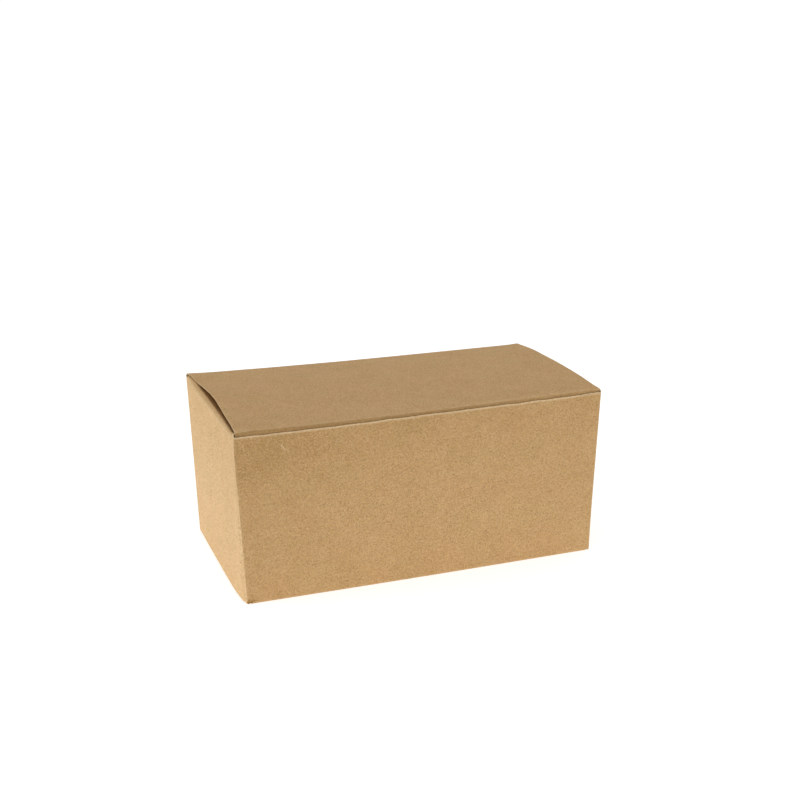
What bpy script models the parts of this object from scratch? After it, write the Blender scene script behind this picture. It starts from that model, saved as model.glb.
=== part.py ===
"""Kraft paper box: a tuck-top folding carton, with each panel between two creases as its own sheet of board."""

import math

import bmesh
import bpy
from mathutils import Matrix, Vector

# Body of the carton, outside sizes in metres
TOP_LENGTH = 0.190
END_TAPER = 0.0037
WIDTH = 0.099
HEIGHT = 0.086
BOARD = 0.00045
GAP = 0.0003

# Lid and its tuck flap
LID_SIDE_INSET = 0.0012
LID_FRONT_RISE = 0.0007
FRONT_CUT_DROP = 0.0014
LID_PEAK = 0.0042
LID_PEAK_SHARE = 0.52
LID_FOOT_SHARE = 0.80
FADE_EXPONENT = 3
LID_BOW = 0.0021
TUCK_LENGTH = 0.018
TUCK_SIDE_INSET = 0.0022
TUCK_CORNER_RADIUS = 0.011
TUCK_LEAN = math.radians(9.5)

# Bottom panel
BOTTOM_SIDE_INSET = 0.0010
BOTTOM_CORNER_RELIEF = 0.0030
REAR_CUT_RISE = 0.0012

# Dust flaps
DUST_LENGTH = 0.044
DUST_DROP = 0.0008
DUST_TUCK_SIDE_INSET = 0.0055
DUST_HINGE_SIDE_INSET = 0.0015
DUST_TAPER = 0.0140
DUST_CORNER_RADIUS = 0.004
TOP_DUST_SLOPE = math.radians(8.0)
BOTTOM_DUST_SLOPE = math.radians(3.0)

# Glue flap
GLUE_FLAP_WIDTH = 0.014
GLUE_FLAP_TAPER = 0.004

# Fineness of the curves
BOW_STEPS_ACROSS = 16
BOW_STEPS_BACK = 12
CORNER_STEPS = 6

HALF = 0.5
RIGHT_ANGLE = math.pi / 2
UP = Vector((0, 0, 1))
RIGHT = Vector((1, 0, 0))
BACK = Vector((0, 1, 0))

TAPER_ANGLE = math.atan2(END_TAPER, HEIGHT)
TUCK_OFFSET = BOARD + GAP
KRAFT = (0.578, 0.371, 0.181, 1.0)
KRAFT_ROUGHNESS = 0.86


def half_length(z):
    """Half of the outside length at a height."""
    return TOP_LENGTH * HALF - END_TAPER * (HEIGHT - z) / HEIGHT


def crease_setbacks(fold):
    """How far the outer and inner face of a sheet stop short of a crease with this inside angle."""
    outer = GAP * HALF / math.sin(fold * HALF)
    return outer, outer + BOARD / math.tan(fold * HALF)


def kraft_material(name):
    material = bpy.data.materials.new(name)
    material.use_nodes = True
    shader = material.node_tree.nodes["Principled BSDF"]
    shader.inputs["Base Color"].default_value = KRAFT
    shader.inputs["Roughness"].default_value = KRAFT_ROUGHNESS
    shader.inputs["Metallic"].default_value = 0.0
    material.diffuse_color = KRAFT
    return material


def add_object(name, mesh, origin):
    mesh.materials.append(kraft_material(name))
    obj = bpy.data.objects.new(name, mesh)
    obj.location = origin
    bpy.context.scene.collection.objects.link(obj)
    return obj


def closed_mesh(name, outer, inner, faces_between, origin):
    """A mesh from two matching loops of points, joined by a rim; points are in world coordinates."""
    builder = bmesh.new()
    outer_verts = [builder.verts.new(point - origin) for point in outer]
    inner_verts = [builder.verts.new(point - origin) for point in inner]
    faces_between(builder, outer_verts, inner_verts)
    bmesh.ops.recalc_face_normals(builder, faces=builder.faces)
    mesh = bpy.data.meshes.new(name)
    builder.to_mesh(mesh)
    builder.free()
    return mesh


def outline_faces(builder, outer_verts, inner_verts):
    """Both faces of a flat sheet and the rim around them."""
    builder.faces.new(outer_verts)
    builder.faces.new(list(reversed(inner_verts)))
    count = len(outer_verts)
    for index in range(count):
        following = (index + 1) % count
        builder.faces.new(
            (
                outer_verts[index],
                inner_verts[index],
                inner_verts[following],
                outer_verts[following],
            )
        )


def flat_sheet(name, outline, pivot, along, away, inward):
    """A flat sheet of board. Each outline point holds its distance along the crease and away from it
    on the outer face, and then the same two distances on the inner face."""
    outer = []
    inner = []
    for across, reach, inner_across, inner_reach in outline:
        outer.append(pivot + along * across + away * reach)
        inner.append(pivot + along * inner_across + away * inner_reach + inward * BOARD)
    mesh = closed_mesh(name, outer, inner, outline_faces, pivot)
    return add_object(name, mesh, pivot)


def same_both(points):
    """An outline whose inner face matches its outer face."""
    return [(across, reach, across, reach) for across, reach in points]


def rounded(points, radii):
    """A polygon with some of its corners replaced by arcs."""
    result = []
    count = len(points)
    for index in range(count):
        corner = Vector(points[index])
        radius = radii[index]
        if radius == 0:
            result.append(tuple(corner))
            continue
        to_last = (Vector(points[index - 1]) - corner).normalized()
        to_next = (Vector(points[(index + 1) % count]) - corner).normalized()
        turn = to_last.angle(to_next)
        reach = radius / math.tan(turn * HALF)
        centre = corner + (to_last + to_next).normalized() * (radius / math.sin(turn * HALF))
        start = corner + to_last * reach - centre
        sweep = start.angle_signed(corner + to_next * reach - centre)
        for step in range(CORNER_STEPS + 1):
            angle = -sweep * step / CORNER_STEPS
            arm = Matrix.Rotation(angle, 2) @ start
            result.append(tuple(centre + arm))
    return result


def wall(name, corners, inner_corners, origin):
    """A wall from its four outer corners and its four inner corners."""
    mesh = closed_mesh(name, corners, inner_corners, outline_faces, origin)
    return add_object(name, mesh, origin)


def long_wall_points(y_side, low, high, low_setbacks, high_setbacks, right_cut):
    """Outer and inner corners of the front wall (y_side -1) or the rear wall (y_side 1)."""
    side_outer, side_inner = crease_setbacks(RIGHT_ANGLE)
    faces = []
    for face in range(2):
        y = y_side * (WIDTH * HALF - BOARD * face)
        z_low = low + low_setbacks[face]
        z_high = high - high_setbacks[face]
        setback = (side_outer, side_inner)[face]
        points = []
        for x_side, z in ((-1, z_low), (1, z_low), (1, z_high), (-1, z_high)):
            extra = right_cut if x_side > 0 else 0
            points.append(Vector((x_side * (half_length(z) - setback - extra), y, z)))
        faces.append(points)
    return faces


def build_walls():
    top_setbacks = crease_setbacks(RIGHT_ANGLE)
    no_setbacks = (0, 0)
    front = long_wall_points(-1, 0, HEIGHT - FRONT_CUT_DROP, top_setbacks, no_setbacks, 0)
    wall("front_panel", *front, Vector((0, -WIDTH * HALF, HEIGHT * HALF)))
    rear = long_wall_points(1, REAR_CUT_RISE, HEIGHT, no_setbacks, top_setbacks, BOARD + GAP)
    wall("rear_panel", *rear, Vector((0, WIDTH * HALF, HEIGHT * HALF)))
    build_end_walls()


def build_end_walls():
    side_outer, side_inner = crease_setbacks(RIGHT_ANGLE)
    top_fold = RIGHT_ANGLE - TAPER_ANGLE - TOP_DUST_SLOPE
    bottom_fold = RIGHT_ANGLE + TAPER_ANGLE - BOTTOM_DUST_SLOPE
    top_setbacks = crease_setbacks(top_fold)
    bottom_setbacks = crease_setbacks(bottom_fold)
    for name, x_side in (("left_end_panel", -1), ("right_end_panel", 1)):
        faces = []
        for face in range(2):
            front_y = -WIDTH * HALF + (side_outer, side_inner)[face]
            rear_y = WIDTH * HALF - (side_outer, side_inner)[face]
            if x_side > 0:
                rear_y = WIDTH * HALF
            z_low = DUST_DROP + bottom_setbacks[face]
            z_high = HEIGHT - DUST_DROP - top_setbacks[face]
            shift = BOARD * face / math.cos(TAPER_ANGLE)
            points = []
            for y, z in ((front_y, z_low), (rear_y, z_low), (rear_y, z_high), (front_y, z_high)):
                points.append(Vector((x_side * (half_length(z) - shift), y, z)))
            faces.append(points)
        wall(name, *faces, Vector((x_side * half_length(HEIGHT * HALF), 0, HEIGHT * HALF)))


def build_glue_flap():
    """The flap folds from the rear wall's right end and lies inside the right end wall."""
    side_outer, side_inner = crease_setbacks(RIGHT_ANGLE)
    low = REAR_CUT_RISE + GLUE_FLAP_TAPER
    high = HEIGHT - DUST_DROP - GLUE_FLAP_TAPER
    faces = []
    for face in range(2):
        root_y = WIDTH * HALF - (side_outer, side_inner)[face]
        tip_y = WIDTH * HALF - GLUE_FLAP_WIDTH
        shift = (BOARD + GAP + BOARD * face) / math.cos(TAPER_ANGLE)
        points = []
        for y, z in (
            (root_y, REAR_CUT_RISE + GLUE_FLAP_TAPER * HALF),
            (tip_y, low + GLUE_FLAP_TAPER),
            (tip_y, high - GLUE_FLAP_TAPER),
            (root_y, high),
        ):
            points.append(Vector((half_length(z) - shift, y, z)))
        faces.append(points)
    wall("glue_flap", *faces, Vector((half_length(HEIGHT * HALF), WIDTH * HALF, HEIGHT * HALF)))


def lid_top(x, back_share):
    """Height of the lid's outer face; back_share runs from 0 at the rear crease to 1 at the front one.
    The lid is bowed, and at its left edge the bow is a tent that fades out to the right."""
    rising = back_share / LID_PEAK_SHARE
    falling = (LID_FOOT_SHARE - back_share) / (LID_FOOT_SHARE - LID_PEAK_SHARE)
    tent = LID_PEAK * max(min(rising, falling), 0)
    bow = LID_BOW * math.sin(math.pi * back_share)
    left_share = (HALF - x / TOP_LENGTH) ** FADE_EXPONENT
    return HEIGHT + LID_FRONT_RISE * back_share + bow + (tent - bow) * left_share


def build_lid():
    pivot = Vector((0, WIDTH * HALF, HEIGHT))
    front = -WIDTH * HALF + TUCK_OFFSET
    rear_setbacks = crease_setbacks(RIGHT_ANGLE)
    front_setbacks = crease_setbacks(RIGHT_ANGLE - TUCK_LEAN)
    columns = BOW_STEPS_ACROSS + 1
    layers = []
    for face in range(2):
        start = WIDTH * HALF - rear_setbacks[face]
        end = front + front_setbacks[face]
        points = []
        for row in range(BOW_STEPS_BACK + 1):
            y = start + (end - start) * row / BOW_STEPS_BACK
            share = (WIDTH * HALF - y) / (WIDTH * HALF - front)
            for column in range(columns):
                x = (column / BOW_STEPS_ACROSS - HALF) * (TOP_LENGTH - LID_SIDE_INSET / HALF)
                points.append(Vector((x, y, lid_top(x, share) - BOARD * face)))
        layers.append(points)

    def faces_between(builder, outer_verts, inner_verts):
        for row in range(BOW_STEPS_BACK):
            for column in range(BOW_STEPS_ACROSS):
                first = row * columns + column
                corner = (first, first + 1, first + columns + 1, first + columns)
                builder.faces.new([outer_verts[index] for index in corner])
                builder.faces.new([inner_verts[index] for index in reversed(corner)])
        rim = list(range(columns))
        rim += [row * columns + BOW_STEPS_ACROSS for row in range(1, BOW_STEPS_BACK + 1)]
        rim += [BOW_STEPS_BACK * columns + column for column in reversed(range(BOW_STEPS_ACROSS))]
        rim += [row * columns for row in reversed(range(1, BOW_STEPS_BACK))]
        for place, index in enumerate(rim):
            following = rim[(place + 1) % len(rim)]
            builder.faces.new(
                (
                    outer_verts[index],
                    inner_verts[index],
                    inner_verts[following],
                    outer_verts[following],
                )
            )

    mesh = closed_mesh("lid_panel", *layers, faces_between, pivot)
    mesh.shade_smooth()
    mesh.set_sharp_from_angle(angle=RIGHT_ANGLE * HALF)
    add_object("lid_panel", mesh, pivot)


def build_tuck_flap(name, pivot, half_width, down, inward_side):
    """A tuck flap that hangs from its crease (down -1) or stands on it (down 1), leaning inward."""
    inward_axis = BACK * inward_side
    along = RIGHT
    away = (UP * down * math.cos(TUCK_LEAN) + inward_axis * math.sin(TUCK_LEAN)).normalized()
    inward = (inward_axis * math.cos(TUCK_LEAN) - UP * down * math.sin(TUCK_LEAN)).normalized()
    outer, inner = crease_setbacks(RIGHT_ANGLE - TUCK_LEAN)
    corners = [
        (-half_width, 0),
        (half_width, 0),
        (half_width, TUCK_LENGTH),
        (-half_width, TUCK_LENGTH),
    ]
    radii = (0, 0, TUCK_CORNER_RADIUS, TUCK_CORNER_RADIUS)
    outline = same_both(rounded(corners, radii))
    outline[0] = (-half_width, outer, -half_width, inner)
    outline[1] = (half_width, outer, half_width, inner)
    flat_sheet(name, outline, pivot, along, away, inward)


def build_dust_flap(name, x_side, pivot_z, rise, slope, fold, tuck_side):
    """A dust flap that folds inward from an end wall. Its edge next to the tuck flap is square and
    its edge next to the panel's hinge tapers. rise is -1 where it slopes down, 1 where it slopes up."""
    pivot = Vector((x_side * half_length(pivot_z), 0, pivot_z))
    inboard = RIGHT * -x_side
    away = (inboard * math.cos(slope) + UP * rise * math.sin(slope)).normalized()
    inward = (UP * rise * math.cos(slope) - inboard * math.sin(slope)).normalized()
    outer, inner = crease_setbacks(fold)
    tuck_edge = tuck_side * (WIDTH * HALF - DUST_TUCK_SIDE_INSET)
    hinge_edge = -tuck_side * (WIDTH * HALF - DUST_HINGE_SIDE_INSET)
    hinge_tip = hinge_edge + tuck_side * DUST_TAPER
    corners = [
        (tuck_edge, 0),
        (hinge_edge, 0),
        (hinge_tip, DUST_LENGTH),
        (tuck_edge, DUST_LENGTH),
    ]
    radii = (0, 0, DUST_CORNER_RADIUS, DUST_CORNER_RADIUS)
    outline = same_both(rounded(corners, radii))
    outline[0] = (tuck_edge, outer, tuck_edge, inner)
    outline[1] = (hinge_edge, outer, hinge_edge, inner)
    flat_sheet(name, outline, pivot, BACK, away, inward)


def build_bottom():
    pivot = Vector((0, -WIDTH * HALF, 0))
    half_width = half_length(0) - BOTTOM_SIDE_INSET
    relieved = half_width - BOTTOM_CORNER_RELIEF
    reach = WIDTH - TUCK_OFFSET
    outer, inner = crease_setbacks(RIGHT_ANGLE)
    far_outer, far_inner = crease_setbacks(RIGHT_ANGLE - TUCK_LEAN)
    outline = [
        (-half_width, BOTTOM_CORNER_RELIEF, -half_width, BOTTOM_CORNER_RELIEF),
        (-relieved, outer, -relieved, inner),
        (relieved, outer, relieved, inner),
        (half_width, BOTTOM_CORNER_RELIEF, half_width, BOTTOM_CORNER_RELIEF),
        (half_width, reach - far_outer, half_width, reach - far_inner),
        (-half_width, reach - far_outer, -half_width, reach - far_inner),
    ]
    flat_sheet("bottom_panel", outline, pivot, RIGHT, BACK, UP)
    crease = Vector((0, WIDTH * HALF - TUCK_OFFSET, 0))
    build_tuck_flap("bottom_tuck_flap", crease, half_width - BOARD, 1, -1)


def build_flaps():
    crease = Vector((0, -WIDTH * HALF + TUCK_OFFSET, HEIGHT + LID_FRONT_RISE))
    build_tuck_flap("lid_tuck_flap", crease, TOP_LENGTH * HALF - TUCK_SIDE_INSET, -1, 1)
    top_fold = RIGHT_ANGLE - TAPER_ANGLE - TOP_DUST_SLOPE
    bottom_fold = RIGHT_ANGLE + TAPER_ANGLE - BOTTOM_DUST_SLOPE
    for side_name, x_side in (("left", -1), ("right", 1)):
        top_name = side_name + "_dust_flap"
        top_z = HEIGHT - DUST_DROP
        build_dust_flap(top_name, x_side, top_z, -1, TOP_DUST_SLOPE, top_fold, -1)
        bottom_name = "bottom_" + top_name
        build_dust_flap(bottom_name, x_side, DUST_DROP, 1, BOTTOM_DUST_SLOPE, bottom_fold, 1)


def main():
    for obj in list(bpy.data.objects):
        bpy.data.objects.remove(obj, do_unlink=True)
    build_walls()
    build_glue_flap()
    build_lid()
    build_bottom()
    build_flaps()


main()
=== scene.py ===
"""Looks of the kraft paper box: one folded sheet of board, built as curved thin shells that
meet at the creases, with a fibrous board material, on a white floor."""

import math

import bmesh
import bpy
import numpy as np
from mathutils import Matrix, Vector, noise


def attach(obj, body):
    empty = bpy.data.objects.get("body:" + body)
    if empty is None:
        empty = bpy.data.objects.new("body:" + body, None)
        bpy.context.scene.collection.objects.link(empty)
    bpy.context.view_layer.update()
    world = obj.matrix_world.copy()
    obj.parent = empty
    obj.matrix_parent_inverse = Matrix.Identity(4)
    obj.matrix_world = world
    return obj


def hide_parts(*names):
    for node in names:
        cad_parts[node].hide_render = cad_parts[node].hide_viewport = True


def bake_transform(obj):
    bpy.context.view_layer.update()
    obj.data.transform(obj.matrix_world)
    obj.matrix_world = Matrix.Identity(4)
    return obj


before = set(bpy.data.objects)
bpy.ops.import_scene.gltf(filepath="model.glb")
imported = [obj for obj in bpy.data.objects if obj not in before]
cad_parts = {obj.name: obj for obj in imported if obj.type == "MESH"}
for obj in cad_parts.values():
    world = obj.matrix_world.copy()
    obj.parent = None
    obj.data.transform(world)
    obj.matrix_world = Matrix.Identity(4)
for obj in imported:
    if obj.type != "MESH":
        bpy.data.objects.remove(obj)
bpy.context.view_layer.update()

MM = 0.001

# Main sizes, the same as the solids have
HALF_LENGTH = 95 * MM
END_TAPER = 3.7 * MM
HALF_WIDTH = 49.5 * MM
HEIGHT = 86 * MM
BOARD = 0.45 * MM
FOLD_OFFSET = 0.75 * MM
GLUE_OFFSET = 0.75 * MM
TAPER_ANGLE = math.atan2(END_TAPER, HEIGHT)
TUCK_LEAN = math.radians(9.5)
TUCK_LENGTH = 18 * MM
TUCK_RADIUS = 11 * MM
DUST_DROP = 0.8 * MM
DUST_LENGTH = 44 * MM
DUST_TAPER = 14 * MM
DUST_RADIUS = 4 * MM
DUST_TUCK_INSET = 5.5 * MM
DUST_HINGE_INSET = 1.5 * MM
TOP_SLOPE = math.radians(8)
BOTTOM_SLOPE = math.radians(3)
GLUE_WIDTH = 14 * MM
REAR_CUT = 1.2 * MM
BOTTOM_INSET = 1.0 * MM

# Reach of the lid and of the bottom, from crease to crease
REACH = 2 * HALF_WIDTH - FOLD_OFFSET

# Sizes that only the sheets have: how far from the walls' edges the sides of the bottom and of the
# dust flaps start at their creases, how high the bottom dust flaps' creases are, the gap under the
# walls' cut edges and how much it grows away from the corners, and the gap beside the lid
BOTTOM_RELIEF = 1.7 * MM
DUST_SHOULDER = 1.8 * MM
FOOT_DROP = 0.6 * MM
FOOT_GAP = 0.1 * MM
REAR_FOOT_GAP = 0.15 * MM
FOOT_RELIEF = 0.4 * MM
LID_SIDE_GAP = 0.3 * MM

# Rounding of the creases, and how far before its corner a flap's own sheet starts
FOLD_RADIUS = 0.7 * MM
WALL_RADIUS = 0.5 * MM
SHARP_FOLD_RADIUS = 0.35 * MM
RUN = 1.0 * MM

# Cut edges: how far their rims are drawn in, how far from them the mesh's first row is, how far
# their lighter tint of fuzz and painted highlight reaches, also at the walls' top, and how light it
# is on the walls and the flaps
CHAMFER = 0.07 * MM
LIP = 0.12 * MM
CUT_REACH = 0.5 * MM
TOP_CUT_REACH = 1.3 * MM
WALL_TINT = 0.5
FLAP_TINT = 0.3

# How far the wear and painted highlight reach beside a crease, and how strong they are
# at the upright ones
CREASE_REACH = 1.3 * MM
WALL_CREASE_REACH = 1.2 * MM
WALL_CREASE_WEAR_AND_HIGHLIGHT = 0.35

# How far the board bows or waves out of its plane
LID_BOW = 2.1 * MM
LEFT_BOW = 0.35 * MM
RIGHT_BOW = 0.9 * MM
FRONT_TOP_BOW = 0.75 * MM
FRONT_FOOT_BOW = 0.5 * MM
REAR_BOW = 0.5 * MM
WAVE_HEIGHT = 0.1 * MM

# How far from the front's upright edges the walls follow them
EDGE_FADE = 30 * MM

# How strongly the fibres show, and the painted shade on the strip past a dust flap's fold
WALL_FIBRE = 1.15
LEFT_FIBRE = 1.45
LID_FIBRE = 1.2
DUST_STRIP_PAINTED_SHADE = -0.03

# The mesh: distances in mm of a wall's rows from its cut edges, the number of rows between them, the
# angle above which an edge is sharp, and the third coordinate of the inner face on the unfolded
# sheet, which gives it a pattern of its own
WALL_ROWS = (0, 0.12, 0.35, 0.7, 1.2, 2.5, 5)
WALL_MIDDLE_ROWS = 15
SHARP_ANGLE = math.radians(40)
INNER_SHEET = 0.3

# Unevenness of the real box, as pairs of place and offset in mm: how far the folds and the front
# wall's cut edge are above the box's height, and how far the front's upright edges and the left
# wall's foot stand out. The foot's pairs are smoothed over a distance in mm of their own.
REAR_FOLD = (
    (-95, 2.1), (-88, 1.65), (-80, 1.3), (-68, 1.0), (-54, 0.6), (-34, 0.2),
    (-10, -0.25), (20, -0.55), (60, -0.85), (89, -1.05), (95, -0.7),
)
FRONT_FOLD = (
    (-95, 0.9), (-92, 1.5), (-87, 1.6), (-75, 1.35), (-60, 1.15), (-45, 1.07), (-5, 1.1),
    (45, 1.25), (85, 1.5), (91, 1.35), (95, 1.05),
)
CUT_EDGE = (
    (-95, -0.9), (-92, -1.0), (-87, -1.0), (-75, -1.0), (-60, -0.9), (-5, -0.75), (45, -0.73),
    (85, -0.4), (95, -0.3),
)
LEFT_FOLD = (
    (-50, 0.0), (-47, -0.65), (-44, -1.35), (-40, -1.7), (-30, -1.7), (-10, -1.5), (15, -1.25),
    (30, -0.85), (42, -0.1), (49, 0.7),
)
RIGHT_FOLD = ((-49, 0.6), (-46, 0.1), (-40, -0.5), (42, -0.7), (49, -0.9))
LEFT_EDGE = (
    (0, 0.35), (8, 0.5), (22, 0.65), (38, 0.75), (53, 0.8), (68, 1.2), (79, 1.15), (86, 0.7),
)
RIGHT_EDGE = ((0, 0.4), (10, 0.2), (25, 0.0), (86, 0.0))
LEFT_FOOT = (
    (-48, 1.5), (-44, 1.65), (-36, 2.15), (-26, 2.2), (-10, 1.8), (5, 1.4), (20, 1.1), (35, 0.75),
    (48, 0.55),
)
LEFT_FOOT_SOFTNESS = 6.0

# Height of the lid's left and right edge at distances in mm from the rear fold
LEFT_LID = (
    (0, 2.1), (9, 2.15), (18, 2.6), (29, 3.85), (39, 4.8), (48, 5.3), (59, 4.65), (68, 3.4),
    (77, 2.25), (86, 1.55), (92, 1.0), (98, 0.9),
)
RIGHT_LID = (
    (0, -0.7), (10, 0.5), (20, 1.45), (26, 1.85), (32, 1.95), (39, 2.2), (49, 2.45), (59, 2.55),
    (69, 2.6), (79, 2.5), (88, 2.1), (93, 1.75), (98, 1.05),
)

# Slope in degrees of a dust flap's and of the lid's tuck flap's sheet, at distances in mm from the
# fold. A dust flap's bends are made smaller where the room under the lid is less than their rise,
# and by the share given for its place in mm. Its mesh has more rows at the bends.
DUST_BENDS = (
    (0, 37), (1.5, 34), (2.2, 29), (2.65, 0), (3.3, -20), (4.6, -33), (8.0, -28), (12, -8), (44, -8),
)
DUST_ROWS = (1.3, 1.9, 2.2, 2.8, 3.3, 5.0)
DUST_RISE = 1.7 * MM
DUST_SIZE = ((-45, 0.55), (-30, 0.65), (-10, 0.85), (10, 1.0))
TUCK_BENDS = ((0, 3), (2.5, 4), (5, 9), (18, 10))


def smoothstep(value, low=0.0, high=1.0):
    """0 up to low, 1 from high on and a smooth rise between them."""
    t = np.clip((value - low) / (high - low), 0, 1)
    return t * t * (3 - 2 * t)


def half_length(z):
    """Half of the outside length at a height."""
    return HALF_LENGTH - END_TAPER * (HEIGHT - z) / HEIGHT


def waves(points, scale, seed):
    """Smooth noise from -1 to 1 at each point."""
    flat = points.reshape(-1, 3) / scale + seed
    values = [noise.noise(Vector(p)) for p in flat]
    return np.array(values).reshape(points.shape[:-1])


# Shape of the sheet

def curve(place, points, soft=2.0):
    """Offset at a place from pairs in mm, smoothed over a distance in mm."""
    places, offsets = zip(*points)
    place = np.asarray(place) / MM
    near = np.linspace(-2, 2, 9)
    weights = np.exp(-(near**2)) / np.exp(-(near**2)).sum()
    return sum(w * np.interp(place + n * soft, places, offsets) for n, w in zip(near, weights)) * MM


def curl(distance, bends):
    """Way forward and rise of a sheet whose slope changes with the distance from its fold."""
    places, slopes = zip(*bends)
    fine = np.linspace(0, places[-1], 500)
    angles = np.radians(np.interp(fine, places, slopes))
    step = fine[1] * MM
    forward = np.concatenate(([0], np.cumsum(np.cos(angles[:-1])) * step))
    rise = np.concatenate(([0], np.cumsum(np.sin(angles[:-1])) * step))
    place = np.clip(distance / MM, 0, None)
    past = np.clip(place - places[-1], 0, None) * MM
    last = math.radians(slopes[-1])
    forward = np.interp(place, fine, forward) + past * math.cos(last)
    return forward, np.interp(place, fine, rise) + past * math.sin(last)


def ripples(x, length, seed):
    """Smooth noise from -1 to 1 along a line, with waves of a given length."""
    values = [noise.noise(Vector((v / length, seed, 0))) for v in np.ravel(x)]
    return np.array(values).reshape(np.shape(x))


def cut_height(x):
    """Height of the front wall's cut top edge: a little uneven, with small steps."""
    uneven = 0.16 * MM * ripples(x, 6 * MM, 3.7) + 0.15 * MM * ripples(x, 1.7 * MM, 8.1)
    step_height, step_sharpness = 0.14 * MM, 5
    uneven += step_height * np.tanh(step_sharpness * ripples(x, 13 * MM, 5.3))
    return HEIGHT + curve(x, CUT_EDGE) + uneven


def straight_lid(x, distance):
    """Height above the box's of a lid that only joins its two folds."""
    share = distance / REACH
    front = curve(x, FRONT_FOLD) * smoothstep(share, 0.3, 1.0) * np.clip(share, 0, 1)
    return front + curve(x, REAR_FOLD) * (1 - smoothstep(share, 0.0, 1.0))


def lid_height(x, distance):
    """Height above the box's of the lid, which bows between its folds. Its left edge stands up in a
    low tent that fades to the right."""
    share = np.clip(distance / REACH, 0, 1)
    left = np.clip(0.5 - x / (2 * HALF_LENGTH), 0, 1) ** 4
    right = np.clip(0.5 + x / (2 * HALF_LENGTH), 0, 1) ** 4
    margin = 0.03
    inside = np.clip(share / margin, 0, 1) * np.clip((1 - share) / margin, 0, 1)
    left_bow = curve(distance, LEFT_LID) - straight_lid(np.full(share.shape, -HALF_LENGTH), distance)
    right_bow = curve(distance, RIGHT_LID) - straight_lid(np.full(share.shape, HALF_LENGTH), distance)
    bow = LID_BOW * np.sin(math.pi * share)
    bow = left * left_bow + right * right_bow + (1 - left - right) * bow
    return straight_lid(x, distance) + bow * inside


def end_fold(side, y):
    """Height of the fold at the top of an end wall."""
    return HEIGHT + curve(y, LEFT_FOLD if side < 0 else RIGHT_FOLD)


def end_edge(side, z):
    """How far the vertical fold between the front wall and an end stands out."""
    return curve(z, LEFT_EDGE if side < 0 else RIGHT_EDGE)


def end_bulge(side, y, z):
    """How far an end wall stands out from its plane."""
    along = np.clip(y / HALF_WIDTH, -1, 1)
    low = 1 - smoothstep(z / HEIGHT, 0.0, 0.95)
    edge = end_edge(side, z) * (1 - smoothstep(y + HALF_WIDTH, 0, EDGE_FADE))
    if side < 0:
        inside = smoothstep(HALF_WIDTH - np.abs(y), 0, 3.5 * MM)
        bulge = curve(y, LEFT_FOOT, LEFT_FOOT_SOFTNESS) * low + LEFT_BOW * (1 - along**2)
        return bulge * inside + edge
    return RIGHT_BOW * np.cos(along * math.pi / 2) ** 1.5 * (0.3 + 0.7 * low) + edge


def front_bulge(x, z):
    """How far the front wall stands out from its plane: at its free top edge and at its foot."""
    along = np.clip(x / HALF_LENGTH, -1, 1)
    shape = np.cos(along * math.pi / 2) ** 1.2 * (1 - 0.5 * along)
    top = FRONT_TOP_BOW * shape * smoothstep(z / HEIGHT, 0.0, 1.0)
    foot = FRONT_FOOT_BOW * np.cos(along * math.pi / 2) ** 1.5
    return top + foot * (1 - smoothstep(z / HEIGHT, 0.0, 0.7))


def rear_bulge(x, z):
    """How far the rear wall stands out from its plane, most in its middle."""
    along = np.clip(x / HALF_LENGTH, -1, 1)
    middle = np.sin(np.clip(z / HEIGHT, 0, 1) * math.pi)
    return REAR_BOW * np.cos(along * math.pi / 2) * middle


# Meshes

def unit(vectors):
    return vectors / np.linalg.norm(vectors, axis=-1, keepdims=True)


def surface_normals(points):
    """Normals of a grid of points, from its neighbours."""
    down = np.gradient(points, axis=0)
    across = np.gradient(points, axis=1)
    return unit(np.cross(across, down))


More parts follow.
